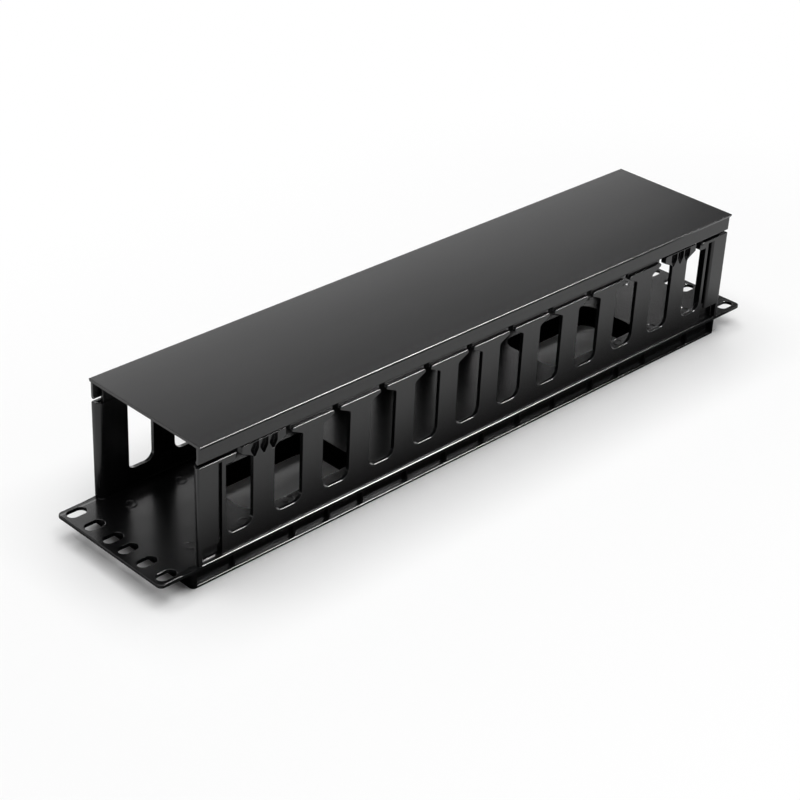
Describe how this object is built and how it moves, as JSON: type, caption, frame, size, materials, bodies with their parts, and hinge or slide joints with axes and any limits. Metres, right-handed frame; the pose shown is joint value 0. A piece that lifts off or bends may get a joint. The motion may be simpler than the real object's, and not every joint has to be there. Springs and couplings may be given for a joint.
{
  "type": "horizontal cable manager",
  "caption": "Black plastic rack panel with a slotted finger duct along its length and a hinged cover that snaps over the fingers; cables lie in the duct and leave between the fingers.",
  "frame": {"origin": "middle of the rear flange's foot, on the plane it lies on", "axes": "+X along the rack's width, +Y across the duct towards the cover's hinge side, +Z out of the rack through the cover"},
  "size_m": [0.4826, 0.0916, 0.0871],
  "materials": {
    "duct_plastic": "black moulded plastic, satin, with glossier floor",
    "cover_plastic": "dark grey extruded plastic, fine satin"
  },
  "bodies": {
    "duct": {"duct_base": "duct_plastic"},
    "cover": {"hinged_cover": "cover_plastic"}
  },
  "joints": [
    {"name": "cover_hinge", "type": "hinge", "parent": "duct", "child": "cover", "pos_m": [0, 0.043, 0.0768], "axis": [-1, 0, 0], "range_deg": [0, 110]}
  ]
}
